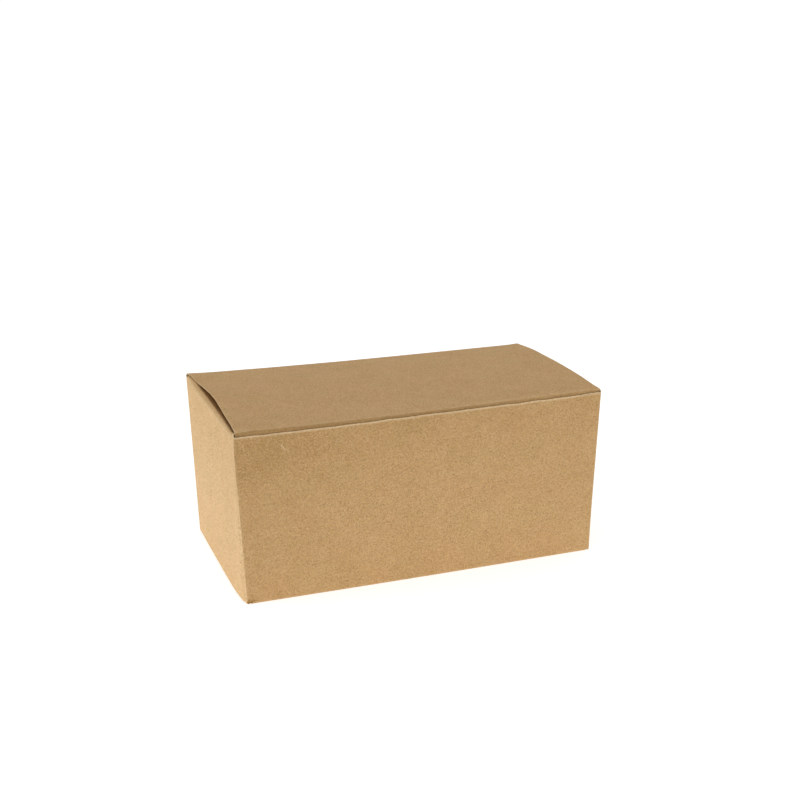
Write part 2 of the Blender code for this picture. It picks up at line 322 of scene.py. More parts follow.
def board(name, outer, normals, flat, crease, edge, tint, shade_and_line_amount=0.0, tone=0.0, fibre=1.0):
    """A closed shell of board from a grid of points on its outer face. Flat holds each point's place
    on the unfolded sheet, crease is 1 on a fold, which wear and a painted highlight lighten, edge is
    1 on a cut edge, tint is how light its fuzz and painted highlight are, the darkening past a fold
    is 1 where painted shade, on the lid tuck, and a darker line, on the dust flaps, darken the sheet,
    tone makes it lighter or darker with random patches and painted light and shade, and fibre is how
    strongly its fibres show."""
    rows, columns = outer.shape[:2]
    inner = outer - normals * BOARD
    drawn_in = normals * (CHAMFER * (edge >= 0.999))[..., None]
    outer = outer - drawn_in
    inner = inner + drawn_in
    count = rows * columns
    builder = bmesh.new()
    places = np.concatenate((outer.reshape(-1, 3), inner.reshape(-1, 3)))
    verts = [builder.verts.new(p) for p in places]

    def add(indices):
        builder.faces.new([verts[i] for i in indices])

    for row in range(rows - 1):
        for column in range(columns - 1):
            first = row * columns + column
            quad = (first, first + columns, first + columns + 1, first + 1)
            add(quad)
            add([count + i for i in reversed(quad)])
    rim = [(0, c) for c in range(columns)] + [(r, columns - 1) for r in range(1, rows)]
    rim += [(rows - 1, c) for c in reversed(range(columns - 1))]
    rim += [(r, 0) for r in reversed(range(1, rows - 1))]
    rim = [row * columns + column for row, column in rim]
    for number, index in enumerate(rim):
        following = rim[(number + 1) % len(rim)]
        add((index, following, count + following, count + index))
    bmesh.ops.recalc_face_normals(builder, faces=builder.faces)
    mesh = bpy.data.meshes.new(name)
    builder.to_mesh(mesh)
    builder.free()
    mesh.shade_smooth()
    mesh.set_sharp_from_angle(angle=SHARP_ANGLE)
    side = np.concatenate((np.zeros(count), np.full(count, INNER_SHEET)))
    place = np.column_stack((np.tile(flat.reshape(-1, 2), (2, 1)), side))
    write_attribute(mesh, "sheet", "FLOAT_VECTOR", "vector", place)
    looks = {"crease": crease, "cut": edge * tint, "shade_and_line_amount": shade_and_line_amount, "tone": tone, "fibre": fibre}
    for key, values in looks.items():
        both_faces = np.tile(np.broadcast_to(values, edge.shape).ravel(), 2)
        write_attribute(mesh, key, "FLOAT", "value", both_faces)
    obj = bpy.data.objects.new(name, mesh)
    bpy.context.scene.collection.objects.link(obj)
    return obj


def write_attribute(mesh, name, kind, key, values):
    attribute = mesh.attributes.new(name, kind, "POINT")
    attribute.data.foreach_set(key, np.asarray(values, np.float32).ravel())


def steps(low, high, spacing, ends=()):
    """Even steps from low to high, with extra ones at the given distances from both ends."""
    count = max(int(round((high - low) / spacing)), 1)
    values = list(np.linspace(low, high, count + 1))
    for distance in ends:
        values += [low + distance, high - distance]
    return np.array(sorted(set(np.round(values, 9))))


def falloff(distance, reach):
    """1 at no distance and 0 at reach."""
    return 1 - smoothstep(np.abs(distance), 0, reach)


# Walls: one strip that starts with the glue flap and ends with the right end wall

def wall_stations():
    """Plan of the strip as rows of (share, offset, y, wall). X is the share times half the box's
    length at a height, plus the offset. Wall names the part of the strip."""
    stations = []
    r = WALL_RADIUS
    arc = [i / 5 for i in range(1, 5)]
    rear_y, front_y = HALF_WIDTH, -HALF_WIDTH

    def corner(share, offset, centre_y, start):
        for t in arc:
            angle = start + t * math.pi / 2
            x, y = offset + r * math.cos(angle), centre_y + r * math.sin(angle)
            stations.append((share, x, y, "corner"))

    # Columns of an end wall beside its edges, and on both sides of where its flaps' creases end
    ends = [LIP, 0.5 * MM, 2.5 * MM]
    for inset in (DUST_HINGE_INSET, DUST_SHOULDER):
        ends += [inset - r - 0.04 * MM, inset - r + 0.04 * MM]
    for y in steps(rear_y - GLUE_WIDTH, rear_y - r, 3 * MM, (LIP,)):
        stations.append((1, -GLUE_OFFSET, y, "glue"))
    corner(1, -GLUE_OFFSET - r, rear_y - r, 0)
    for t in steps(0, 1, 0.03, (0.0006, 0.002, 0.0035, 0.008)):
        stations.append((1 - 2 * t, (1 - t) * (-GLUE_OFFSET - r) + t * r, rear_y, "rear"))
    corner(-1, r, rear_y - r, math.pi / 2)
    for y in reversed(steps(front_y + r, rear_y - r, 3.5 * MM, ends)):
        stations.append((-1, 0, y, "left"))
    corner(-1, r, front_y + r, math.pi)
    for t in steps(0, 1, 0.0045, (0.002, 0.0185, 0.0215)):
        stations.append((-1 + 2 * t, (1 - t) * r - t * r, front_y, "front"))
    corner(1, -r, front_y + r, math.pi * 1.5)
    for y in steps(front_y + r, rear_y, 3.5 * MM, ends):
        stations.append((1, 0, y, "right"))
    return stations


def wall_heights(low, high):
    """Heights of the mesh's rows, closer together near the edges."""
    near = np.array(WALL_ROWS) * MM
    middle = np.linspace(low + near[-1], high - near[-1], WALL_MIDDLE_ROWS + 2)[1:-1]
    return np.concatenate((low + near, middle, high - near[::-1]))


def wall_limits(wall, share, offset, y):
    """Lowest and highest point of the strip at a station, and whether each is a cut edge."""
    x_top = share * HALF_LENGTH + offset
    x_bottom = share * half_length(0) + offset
    dust_top = HEIGHT - DUST_DROP
    rear_top = HEIGHT + float(curve(x_top, REAR_FOLD))
    if wall == "glue":
        tip = (HALF_WIDTH - y) / GLUE_WIDTH
        return REAR_CUT + (2 + 6 * tip) * MM, dust_top - (4 + 4 * tip) * MM, True, True
    if wall == "rear":
        inside = -HALF_LENGTH + LID_SIDE_GAP < x_top < HALF_LENGTH - GLUE_OFFSET - LID_SIDE_GAP
        high = min(rear_top, HEIGHT) - RUN if inside else rear_top - 0.3 * MM
        from_end = float(smoothstep(HALF_LENGTH - abs(x_top), 1 * MM, 5 * MM))
        return REAR_FOOT_GAP + (REAR_CUT - REAR_FOOT_GAP) * from_end, high, True, not inside
    if wall in ("left", "right"):
        top_join = -HALF_WIDTH + DUST_SHOULDER < y < HALF_WIDTH - DUST_HINGE_INSET
        bottom_join = -HALF_WIDTH + DUST_HINGE_INSET < y < HALF_WIDTH - DUST_SHOULDER
        low = FOOT_DROP + RUN
        if not bottom_join:
            low = FOOT_GAP + FOOT_RELIEF * float(smoothstep(HALF_WIDTH - abs(y), 1 * MM, 5 * MM))
        high = min(float(end_fold(share, y)), dust_top) - RUN if top_join else end_top(share, y)
        return low, high, not bottom_join, not top_join
    if wall == "front":
        joined = abs(x_bottom) < half_length(0) - BOTTOM_INSET - BOTTOM_RELIEF
        gap = half_length(0) - abs(x_bottom)
        relief = FOOT_GAP + FOOT_RELIEF * float(smoothstep(gap, 0.4 * MM, 1.0 * MM)) - 0.1 * gap
        return RUN if joined else relief, float(cut_height(x_top)), not joined, True
    if y > 0:
        if share > 0:
            return REAR_CUT + 1 * MM, HEIGHT - 1.5 * MM, True, True
        return REAR_FOOT_GAP, rear_top - 0.8 * MM, True, True
    to_end = (y + HALF_WIDTH) / WALL_RADIUS
    high = float(cut_height(x_top)) * (1 - to_end**2) + end_top(share, y) * to_end**2
    return FOOT_GAP, high, True, True


def end_top(side, y):
    """Height of an end wall's top edge beside its dust flap: the lid rests on it at the front."""
    gap = 0.1 * MM
    if y < 0:
        lid = lid_height(np.array(side * HALF_LENGTH), np.array(HALF_WIDTH - y))
        return HEIGHT + float(lid) - BOARD - gap
    return float(end_fold(side, y)) - gap


def build_walls():
    """Builds the strip. Returns each wall's place on the unfolded sheet as a slope and an offset."""
    stations = wall_stations()
    rows, columns = len(wall_heights(0, HEIGHT)), len(stations)
    points = np.zeros((rows, columns, 3))
    edge = np.zeros((rows, columns))
    tint = np.full((rows, columns), WALL_TINT)
    for column, (share, offset, y, wall) in enumerate(stations):
        low, high, low_cut, high_cut = wall_limits(wall, share, offset, y)
        z = wall_heights(low, high)
        x = share * half_length(z) + offset
        points[:, column] = np.stack((x, np.full(rows, y), z), axis=-1)
        if low_cut:
            edge[:, column] = np.maximum(edge[:, column], falloff(z - low, CUT_REACH))
        if high_cut:
            edge[:, column] = np.maximum(edge[:, column], falloff(z - high, TOP_CUT_REACH))
        if wall in ("left", "right"):
            points[:, column, 0] += share * end_bulge(share, y, z)
        if wall == "corner":
            past_end = (WALL_RADIUS - HALF_WIDTH + abs(y)) / WALL_RADIUS
            points[:, column, 0] += share * end_bulge(share, y, z) * (1 - past_end)
            if y < 0:
                points[:, column, 0] += share * end_edge(share, z) * past_end
        if wall == "front":
            near = 1 - smoothstep(HALF_LENGTH - np.abs(x), 0, EDGE_FADE)
            points[:, column, 0] += np.sign(x) * end_edge(np.sign(share), z) * near
            points[:, column, 1] -= front_bulge(x, z)
            # The front wall's cut top edge gets the most fuzz and painted highlight
            tint[z > HEIGHT / 2, column] = 1  # its cut top edge is the lightest
        if wall == "rear":
            points[:, column, 1] += rear_bulge(x, z)
    edge[:, [0, -1]] = 1
    normals = surface_normals(points)
    lengths = np.linalg.norm(np.diff(points[rows // 2], axis=0), axis=-1)
    along = np.concatenate(([0], np.cumsum(lengths)))
    flat = np.stack((np.broadcast_to(along, (rows, columns)), points[..., 2]), axis=-1)
    strip = {}
    for wall, axis, row in (("rear", 0, -1), ("front", 0, 0), ("left", 1, -1), ("right", 1, -1)):
        chosen = np.array([station[3] == wall for station in stations])
        strip[wall] = np.polyfit(points[row, chosen, axis], along[chosen], 1)
    wave = WAVE_HEIGHT * waves(points, 26 * MM, 11) * wall_fade(points, stations)
    points += normals * wave[..., None]
    crease = corner_wear_and_highlight(along, stations)
    tone = wall_tone_and_painted_light(points, stations)
    fibre = np.array([LEFT_FIBRE if station[3] == "left" else WALL_FIBRE for station in stations])
    obj = board("wall_sheet", points, normals, flat, crease, edge, tint, tone=tone, fibre=fibre)
    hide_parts("front_panel", "rear_panel", "left_end_panel", "right_end_panel", "glue_flap")
    dress(obj)
    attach(obj, "carton")
    return strip


def corner_wear_and_highlight(along, stations):
    """How much lighter each station is from wear and a painted highlight at the nearest upright fold.
    """
    folds = [s for s, station in zip(along, stations) if station[3] == "corner"]
    near = np.max([falloff(along - s, WALL_CREASE_REACH) for s in folds], axis=0)
    return WALL_CREASE_WEAR_AND_HIGHLIGHT * near


def wall_tone_and_painted_light(points, stations):
    """How much lighter or darker the walls are: painted shade on the front wall, most towards its top
    left, a painted shadow in the notch at its bottom left corner, painted light on the end walls low
    down and near the front, and faint random patches."""
    x, y, z = np.moveaxis(points, -1, 0)
    wall = np.array([station[3] for station in stations])
    high = smoothstep(z / HEIGHT, 0.55, 1.0)
    left_painted_shade = 1 - smoothstep(x, -HALF_LENGTH, -30 * MM)
    leftward_painted_shade = 1 - smoothstep(x, -HALF_LENGTH, 40 * MM)
    # Painted shade: the front wall a little darker overall, more towards its top and its left end
    front = -0.02 - 0.05 * high - 0.09 * high * leftward_painted_shade - 0.045 * left_painted_shade
    # Painted shadow: the front wall dark at its bottom left corner, where the notch is
    notch = falloff(x + half_length(0), 7 * MM) * falloff(z, 3 * MM)
    front -= 0.9 * notch
    # Painted light: the end walls lighter low down and near the front, a little darker at the top
    end = 0.09 - 0.1 * smoothstep(z / HEIGHT, 0.4, 1.0)
    end += 0.08 * falloff(y + HALF_WIDTH, 15 * MM) * (1 - 0.6 * high)
    tone = np.where((wall == "front") | ((wall == "corner") & (y < 0)), front, 0.0)
    tone = np.where((wall == "left") | (wall == "right"), end, tone)
    return tone + 0.015 * waves(points, 45 * MM, 23)


def wall_fade(points, stations):
    """0 at the folds and edges, 1 on the open faces, so that the waves leave the seams closed."""
    height = points[..., 2]
    ends = smoothstep(height, 2 * MM, 12 * MM)
    ends *= 1 - smoothstep(height, HEIGHT - 12 * MM, HEIGHT - 2 * MM)
    x_room = smoothstep(half_length(height) - np.abs(points[..., 0]), 0, 10 * MM)
    y_room = smoothstep(HALF_WIDTH - np.abs(points[..., 1]), 0, 10 * MM)
    return ends * np.maximum(x_room, y_room) * np.array([s[3] != "glue" for s in stations])


# Flaps and panels that fold

def folded(corner, before, after, distance, radius):
    """Points along a fold: before is the way towards the corner and after the way on from it,
    distance is negative before the corner."""
    half_turn = np.arccos(np.clip((before * after).sum(-1), -1, 1)) / 2
    tangent = radius * np.tan(half_turn)
    share = np.clip((distance + tangent) / (2 * tangent), 0, 1)
    centre = corner + unit(after - before) * (radius / np.cos(half_turn))[..., None]
    start = corner - before * tangent[..., None] - centre
    end = corner + after * tangent[..., None] - centre
    turn = 2 * half_turn
    arc = start * (np.sin((1 - share) * turn) / np.sin(turn))[..., None]
    arc = centre + arc + end * (np.sin(share * turn) / np.sin(turn))[..., None]
    straight = np.where((distance < 0)[..., None], before, after) * distance[..., None] + corner
    return np.where((np.abs(distance) < tangent)[..., None], arc, straight)


def fold_rows(length, spacing, tip=True):
    """Distances of a flap's rows from its crease."""
    rows = [-RUN, *np.linspace(-0.75, 0.75, 9) * MM, RUN, 1.6 * MM, 2.5 * MM, 4 * MM]
    rows += list(np.linspace(6 * MM, length - (RUN if tip else 0), max(int(length / spacing), 2)))
    if tip:
        rows += [length - 0.5 * MM, length - LIP, length]
    return np.array(rows)


def corner_trim(distance, length, radius):
    """How far a flap's side is drawn in at a distance by the rounding of its tip's corners."""
    into = np.clip(distance - (length - radius), 0, radius)
    return radius - np.sqrt(radius**2 - into**2)


def flap(
    name, rows, left, right, columns, crease_line, directions, shift, sheet, free_tip,
    radius=FOLD_RADIUS, start=None, shade_and_line_past_fold=None, sunk=0.0, tone=0.0, fibre=1.0,
):
    """A sheet that folds from its neighbour. Left and right give its sides at each row, crease_line
    its corner line and directions the ways before and after it, all from the place along the crease.
    Shift moves its points. Sheet is the crease's place on the unfolded sheet: the line's slope and
    offset, its height and the way on from it. Start tells how much earlier the sheet starts, the
    darkening past the fold how far painted shade, on the lid tuck, and a darker line, on the dust
    flaps, darken each point, sunk is 1 where its waves only go inwards, tone paints a strip past the
    fold lighter or darker as painted light or shade, and fibre is how strongly its fibres show."""
    ends = np.array([0, LIP, 0.5 * MM, 1.5 * MM])
    grid = []
    for low, high in zip(left, right):
        inner = np.linspace(low + 4 * MM, high - 4 * MM, columns)
        grid.append(np.concatenate((low + ends, inner, high - ends[::-1])))
    along = np.array(grid)
    distance = np.broadcast_to(rows[:, None], along.shape).copy()
    if start is not None:
        distance[0] -= start(along[0])
    corner = crease_line(along)
    before, after = directions(along)
    points = folded(corner, before, after, distance, radius)
    points = points + shift(along, distance)
    normals = surface_normals(points)
    normals *= np.sign((normals * (before - after)).sum(-1).mean())
    side_gap = np.minimum(along - np.array(left)[:, None], np.array(right)[:, None] - along)
    edge = falloff(side_gap, CUT_REACH)
    if free_tip:
        edge = np.maximum(edge, falloff(distance - rows[-1], CUT_REACH))
    # The row that meets the neighbour is no rim, so its ends aren't drawn in
    edge = np.where(distance <= -RUN + 1e-9, np.minimum(edge, 0.9), edge)
    crease = falloff(distance, CREASE_REACH)
    shade_and_line_amount = 0.0
    if shade_and_line_past_fold is not None:
        shade_and_line_amount = shade_and_line_past_fold(along, distance) * smoothstep(distance, -0.1 * MM, 0.3 * MM)
    fade = smoothstep(distance, 2 * MM, 12 * MM)
    if not free_tip:
        fade = fade * (1 - smoothstep(distance, rows[-1] - 12 * MM, rows[-1] - 1 * MM))
        crease = np.maximum(crease, falloff(distance - rows[-1] - RUN, CREASE_REACH))
    points += normals * (WAVE_HEIGHT * fade * (waves(points, 22 * MM, 5) - sunk))[..., None]
    slope, offset, level, way = sheet
    flat = np.stack((slope * along + offset, level + way * distance), axis=-1)
    # Painted light or shade, by the tone's sign, on a strip just past the fold
    past_fold = smoothstep(distance, 0.4 * MM, 0.8 * MM)
    strip_painted_shade = tone * past_fold * (1 - smoothstep(distance, 1.7 * MM, 2.4 * MM))
    return board(name, points, normals, flat, crease, edge, FLAP_TINT, shade_and_line_amount, strip_painted_shade, fibre)


def fill(shape, vector):
    """The same vector at every point of a shape."""
    return np.broadcast_to(np.array(vector, float), (*shape, 3)).copy()


def no_shift(along, distance):
    return np.zeros((*along.shape, 3))


def curled(distance, bends, slope, inward, up, size=1.0):
    """Shift that bends a straight sheet of a given slope to the slopes in the list, whose distances
    are scaled by the size."""
    forward, rise = curl(distance / size, bends)
    flat_way = np.clip(distance, 0, None)
    forward = forward * size - flat_way * math.cos(slope)
    rise = rise * size - flat_way * math.sin(slope)
    return forward[..., None] * np.array(inward) + rise[..., None] * np.array(up)


def build_lid(strip):
    rows = fold_rows(REACH, 3.2 * MM, tip=False)
    rows[-1] = REACH - RUN
    share = np.clip(rows / REACH, 0, 1)
    from_rear = smoothstep(rows, 0, 7 * MM)
    left = -HALF_LENGTH + LID_SIDE_GAP + 1.2 * MM * from_rear - 1.0 * MM * share
    left += 0.6 * MM * (smoothstep(share, 0.35, 0.6) - smoothstep(share, 0.85, 1.0))
    right = HALF_LENGTH - GLUE_OFFSET - LID_SIDE_GAP + 0.95 * MM * smoothstep(share, 0.93, 0.99)

    def crease_line(x):
        return np.stack((x, np.full(x.shape, HALF_WIDTH), HEIGHT + curve(x, REAR_FOLD)), axis=-1)

    def directions(x):
        return fill(x.shape, (0, 0, 1)), fill(x.shape, (0, -1, 0))

    def shift(x, distance):
        lift = np.zeros((*x.shape, 3))
        lift[..., 1] = -front_bulge(x, HEIGHT) * smoothstep(distance / REACH, 0.5, 0.97)
        lift[..., 2] = np.where(distance > 0, lid_height(x, distance) - curve(x, REAR_FOLD), 0)
        return lift

    def start(x):
        return np.clip(curve(x, REAR_FOLD), 0, None)

    sheet = (*strip["rear"], HEIGHT, 1)
    obj = flap(
        "lid_sheet", rows, left, right, 60, crease_line, directions, shift, sheet, False,
        start=start, fibre=LID_FIBRE,
    )
    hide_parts("lid_panel")
    hinge_piece(obj)


def build_lid_tuck(strip):
    rows = fold_rows(TUCK_LENGTH, 2 * MM)
    trim = corner_trim(rows, TUCK_LENGTH, TUCK_RADIUS)
    shoulder = smoothstep(rows, 2.5 * MM, 6 * MM)
    notch = smoothstep(rows, 0.0 * MM, 0.9 * MM)
    left = -HALF_LENGTH - 0.1 * MM + 0.35 * MM * notch + 1.6 * MM * shoulder + trim
    right = HALF_LENGTH - 0.1 * MM - 0.45 * MM * notch - 1.6 * MM * shoulder - trim
    y = -HALF_WIDTH + FOLD_OFFSET
    lean = math.radians(TUCK_BENDS[0][1])

    def crease_line(x):
        z = HEIGHT + lid_height(x, np.full(x.shape, REACH))
        return np.stack((x, y - front_bulge(x, HEIGHT), z), axis=-1)

    def directions(x):
        last = np.full(x.shape, REACH)
        rise = lid_height(x, last) - lid_height(x, last - RUN)
        before = np.stack((np.zeros(x.shape), np.full(x.shape, -RUN), rise), axis=-1)
        return unit(before), fill(x.shape, (0, math.sin(lean), -math.cos(lean)))

    def shift(x, distance):
        return curled(distance, TUCK_BENDS, lean, (0, 0, -1), (0, 1, 0))

    # Painted shade on the strip past the tuck flap's fold, strongest at the left
    def shade_and_line_past_fold(x, distance):
        return (0.9 - 0.25 * x / HALF_LENGTH) * (1 - smoothstep(distance, 0.7 * MM, 2.9 * MM))

    sheet = (*strip["rear"], HEIGHT + REACH, 1)
    obj = flap(
        "lid_tuck_sheet", rows, left, right, 60, crease_line, directions, shift, sheet, True,
        SHARP_FOLD_RADIUS, shade_and_line_past_fold=shade_and_line_past_fold,
    )
    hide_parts("lid_tuck_flap")
    hinge_piece(obj)


def build_dust_flap(name, side, top, strip):
    """Side is -1 for the left end and 1 for the right one, and top is true for a flap under the
    lid."""
    z = HEIGHT - DUST_DROP if top else FOOT_DROP
    rows = np.union1d(fold_rows(DUST_LENGTH, 3.4 * MM), np.array(DUST_ROWS) * MM)
    trim = corner_trim(rows, DUST_LENGTH, DUST_RADIUS)
    taper = DUST_TAPER * np.clip(rows / DUST_LENGTH, 0, 1)
    shoulder = (DUST_TUCK_INSET - DUST_SHOULDER) * smoothstep(rows, 0.5 * MM, 4 * MM)
    tuck_side = HALF_WIDTH - DUST_SHOULDER - shoulder - trim
    hinge_side = HALF_WIDTH - DUST_HINGE_INSET - taper - trim
    left, right = (-tuck_side, hinge_side) if top else (-hinge_side, tuck_side)
    rise = 1 if top else -1
    slope = TOP_SLOPE if top else BOTTOM_SLOPE
    before = Vector((side * math.sin(TAPER_ANGLE) * rise, 0, math.cos(TAPER_ANGLE) * rise))
    after = Vector((-side * math.cos(slope), 0, -math.sin(slope) * rise))

    def lift(y):
        return end_fold(side, y) - z if top else np.zeros(y.shape)

    def crease_line(y):
        return np.stack((np.full(y.shape, side * half_length(z)), y, z + lift(y)), axis=-1)

    def directions(y):
        return fill(y.shape, before), fill(y.shape, after)

    def start(y):
        return np.clip(lift(y), 0, None)

    def shift(y, distance):
        moved = np.zeros((*y.shape, 3))
        low = z + rise * np.minimum(distance, 0)
        fade = 1 - smoothstep(distance, RUN, 14 * MM)
        moved[..., 0] = side * end_bulge(side, y, low) * fade
        if top:
            lid_gap = lid_height(np.full(y.shape, side * HALF_LENGTH), HALF_WIDTH - y) - BOARD
            room = (lid_gap - lift(y) + DUST_DROP) / DUST_RISE
            size = np.clip(0.7 * room, 0.2, np.interp(y / MM, *zip(*DUST_SIZE)))
            moved += curled(distance, DUST_BENDS, -slope, (-side, 0, 0), (0, 0, 1), size)
        return moved

    # A darker line just past the dust flap's fold
    def shade_and_line_past_fold(y, distance):
        return 0.55 * (1 - smoothstep(distance, 0.5 * MM, 0.8 * MM))

    sheet = (*strip["left" if side < 0 else "right"], z, rise)
    obj = flap(
        name, rows, left, right, 40, crease_line, directions, shift, sheet, True,
        start=start, shade_and_line_past_fold=shade_and_line_past_fold, tone=DUST_STRIP_PAINTED_SHADE,
    )
    node = name.replace("_sheet", "_flap")
    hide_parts(node)
    hinge_piece(obj)


def build_bottom(strip):
    rows = fold_rows(REACH, 6 * MM, tip=False)
    rows[-1] = REACH - RUN
    relief = BOTTOM_RELIEF * (1 - np.clip(rows / BOTTOM_RELIEF, 0, 1))
    half = half_length(0) - BOTTOM_INSET / 2 - relief

    def crease_line(x):
        return np.stack((x, -HALF_WIDTH - front_bulge(x, 0), np.zeros(x.shape)), axis=-1)

    def directions(x):
        return fill(x.shape, (0, 0, -1)), fill(x.shape, (0, 1, 0))

    def shift(x, distance):
        moved = np.zeros((*x.shape, 3))
        moved[..., 1] = front_bulge(x, 0) * smoothstep(distance, 0, 2 * HALF_WIDTH)
        return moved

    sheet = (*strip["front"], 0, -1)
    obj = flap(
        "bottom_sheet", rows, -half, half, 40, crease_line, directions, shift, sheet, False,
        SHARP_FOLD_RADIUS, sunk=1.0,
    )
    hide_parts("bottom_panel")
    hinge_piece(obj)


def build_bottom_tuck(strip):
    rows = fold_rows(TUCK_LENGTH, 2 * MM)
    trim = corner_trim(rows, TUCK_LENGTH, TUCK_RADIUS)
    half = half_length(0) - BOTTOM_INSET - BOARD * smoothstep(rows, 0.3 * MM, 2.5 * MM) - trim
    y = HALF_WIDTH - FOLD_OFFSET

    def crease_line(x):
        return np.stack((x, np.full(x.shape, y), np.zeros(x.shape)), axis=-1)

    def directions(x):
        after = (0, -math.sin(TUCK_LEAN), math.cos(TUCK_LEAN))
        return fill(x.shape, (0, 1, 0)), fill(x.shape, after)

    sheet = (*strip["front"], -REACH, -1)
    obj = flap(
        "bottom_tuck_sheet", rows, -half, half, 40, crease_line, directions, no_shift, sheet, True
    )
    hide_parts("bottom_tuck_flap")
    hinge_piece(obj)


def hinge_piece(obj):
    """Gives a flap's sheet its material and bakes its place into its mesh."""
    dress(obj)
    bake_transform(obj)


def dress(obj):
    """Gives a sheet its material."""
    obj.data.materials.append(kraft)


# Material

class Nodes:
    """Short calls for building a node tree."""

    def __init__(self, tree):
        self.tree = tree

    def add(self, kind, inputs=(), **settings):
        node = self.tree.nodes.new(kind)
        for key, value in settings.items():
            setattr(node, key, value)
        for key, value in dict(inputs).items():
            if isinstance(value, bpy.types.NodeSocket):
                self.tree.links.new(value, node.inputs[key])
            else:
                node.inputs[key].default_value = value
        return node

    def attribute(self, name, output="Fac"):
        return self.add("ShaderNodeAttribute", attribute_name=name).outputs[output]

    def maths(self, operation, first, second=0.0, third=0.0):
        inputs = {0: first, 1: second, 2: third}
        return self.add("ShaderNodeMath", inputs, operation=operation).outputs[0]

    def vector(self, operation, *values, output="Vector"):
        inputs = dict(enumerate(values))
        return self.add("ShaderNodeVectorMath", inputs, operation=operation).outputs[output]

    def spread(self, value, low, high, to_low=0.0, to_high=1.0):
        """A smooth step from to_low at low to to_high at high."""
        inputs = {0: value, 1: low, 2: high, 3: to_low, 4: to_high}
        return self.add("ShaderNodeMapRange", inputs, interpolation_type="SMOOTHSTEP").outputs[0]

    def noise(self, place, scale, detail=2.0, rough=0.5, twist=0.0, offset=None):
        if offset is not None:
            place = self.vector("ADD", place, offset)
        inputs = {"Vector": place, "Scale": scale, "Detail": detail, "Roughness": rough}
        inputs["Distortion"] = twist
        return self.add("ShaderNodeTexNoise", inputs).outputs["Fac"]

    def mix(self, amount, first, second, blend="MIX"):
        node = self.add("ShaderNodeMix", data_type="RGBA", blend_type=blend)
        for key, value in ((0, amount), (6, first), (7, second)):
            if isinstance(value, bpy.types.NodeSocket):
                self.tree.links.new(value, node.inputs[key])
            else:
                node.inputs[key].default_value = value
        return node.outputs[2]

    def threads(self, strength, place, scale, offset, width, mask_scale, mask_low, mask_high):
        """Short curly lines, from where a twisted noise passes its middle."""
        field = self.noise(place, scale, 1.0, 0.5, 1.3, offset)
        off = self.maths("ABSOLUTE", self.maths("SUBTRACT", field, 0.5))
        line = self.spread(off, 0.0, width, 1.0, 0.0)
        mask = self.noise(place, mask_scale, 2.0, 0.6, 0.0, offset[::-1])
        line = self.maths("MULTIPLY", line, self.spread(mask, mask_low, mask_high))
        return self.maths("MULTIPLY", strength, line)


# The board's colour, what a tone of 1 adds to it, and the colours of what shows in it
BASE = (0.614, 0.375, 0.161)
TONE = (0.574, 0.442, 0.287)
LIGHT_FIBRE = (0.80, 0.53, 0.28, 1)
DARK_FIBRE = (0.34, 0.18, 0.06, 1)
SPECK = (0.16, 0.09, 0.04, 1)
# Cut edges and folds are lighter from fuzz and wear, and partly from a painted highlight
CUT = (0.88, 0.66, 0.39, 1)
WORN_AND_HIGHLIGHT = (0.80, 0.575, 0.33, 1)

# Colours that the one under them is multiplied by
# Painted shade past the lid tuck's fold, and a darker line past the dust flaps' folds
SHADE_AND_LINE_PAST_FOLD = (0.70, 0.66, 0.56, 1)
GREENER = (0.987, 1.006, 0.98, 1)
REDDER = (1.013, 0.994, 1.0, 1)

# A small light scuff near the front wall's top left corner, in metres on the unfolded sheet. The
# last number of across keeps it off the inner face.
SCUFF_START = (0.3270, 0.0795, 0)
SCUFF_WAY = (0.52, -0.854, 0)
SCUFF_ACROSS = (0.854, 0.52, 1)
SCUFF_LENGTH = 4.2 * MM


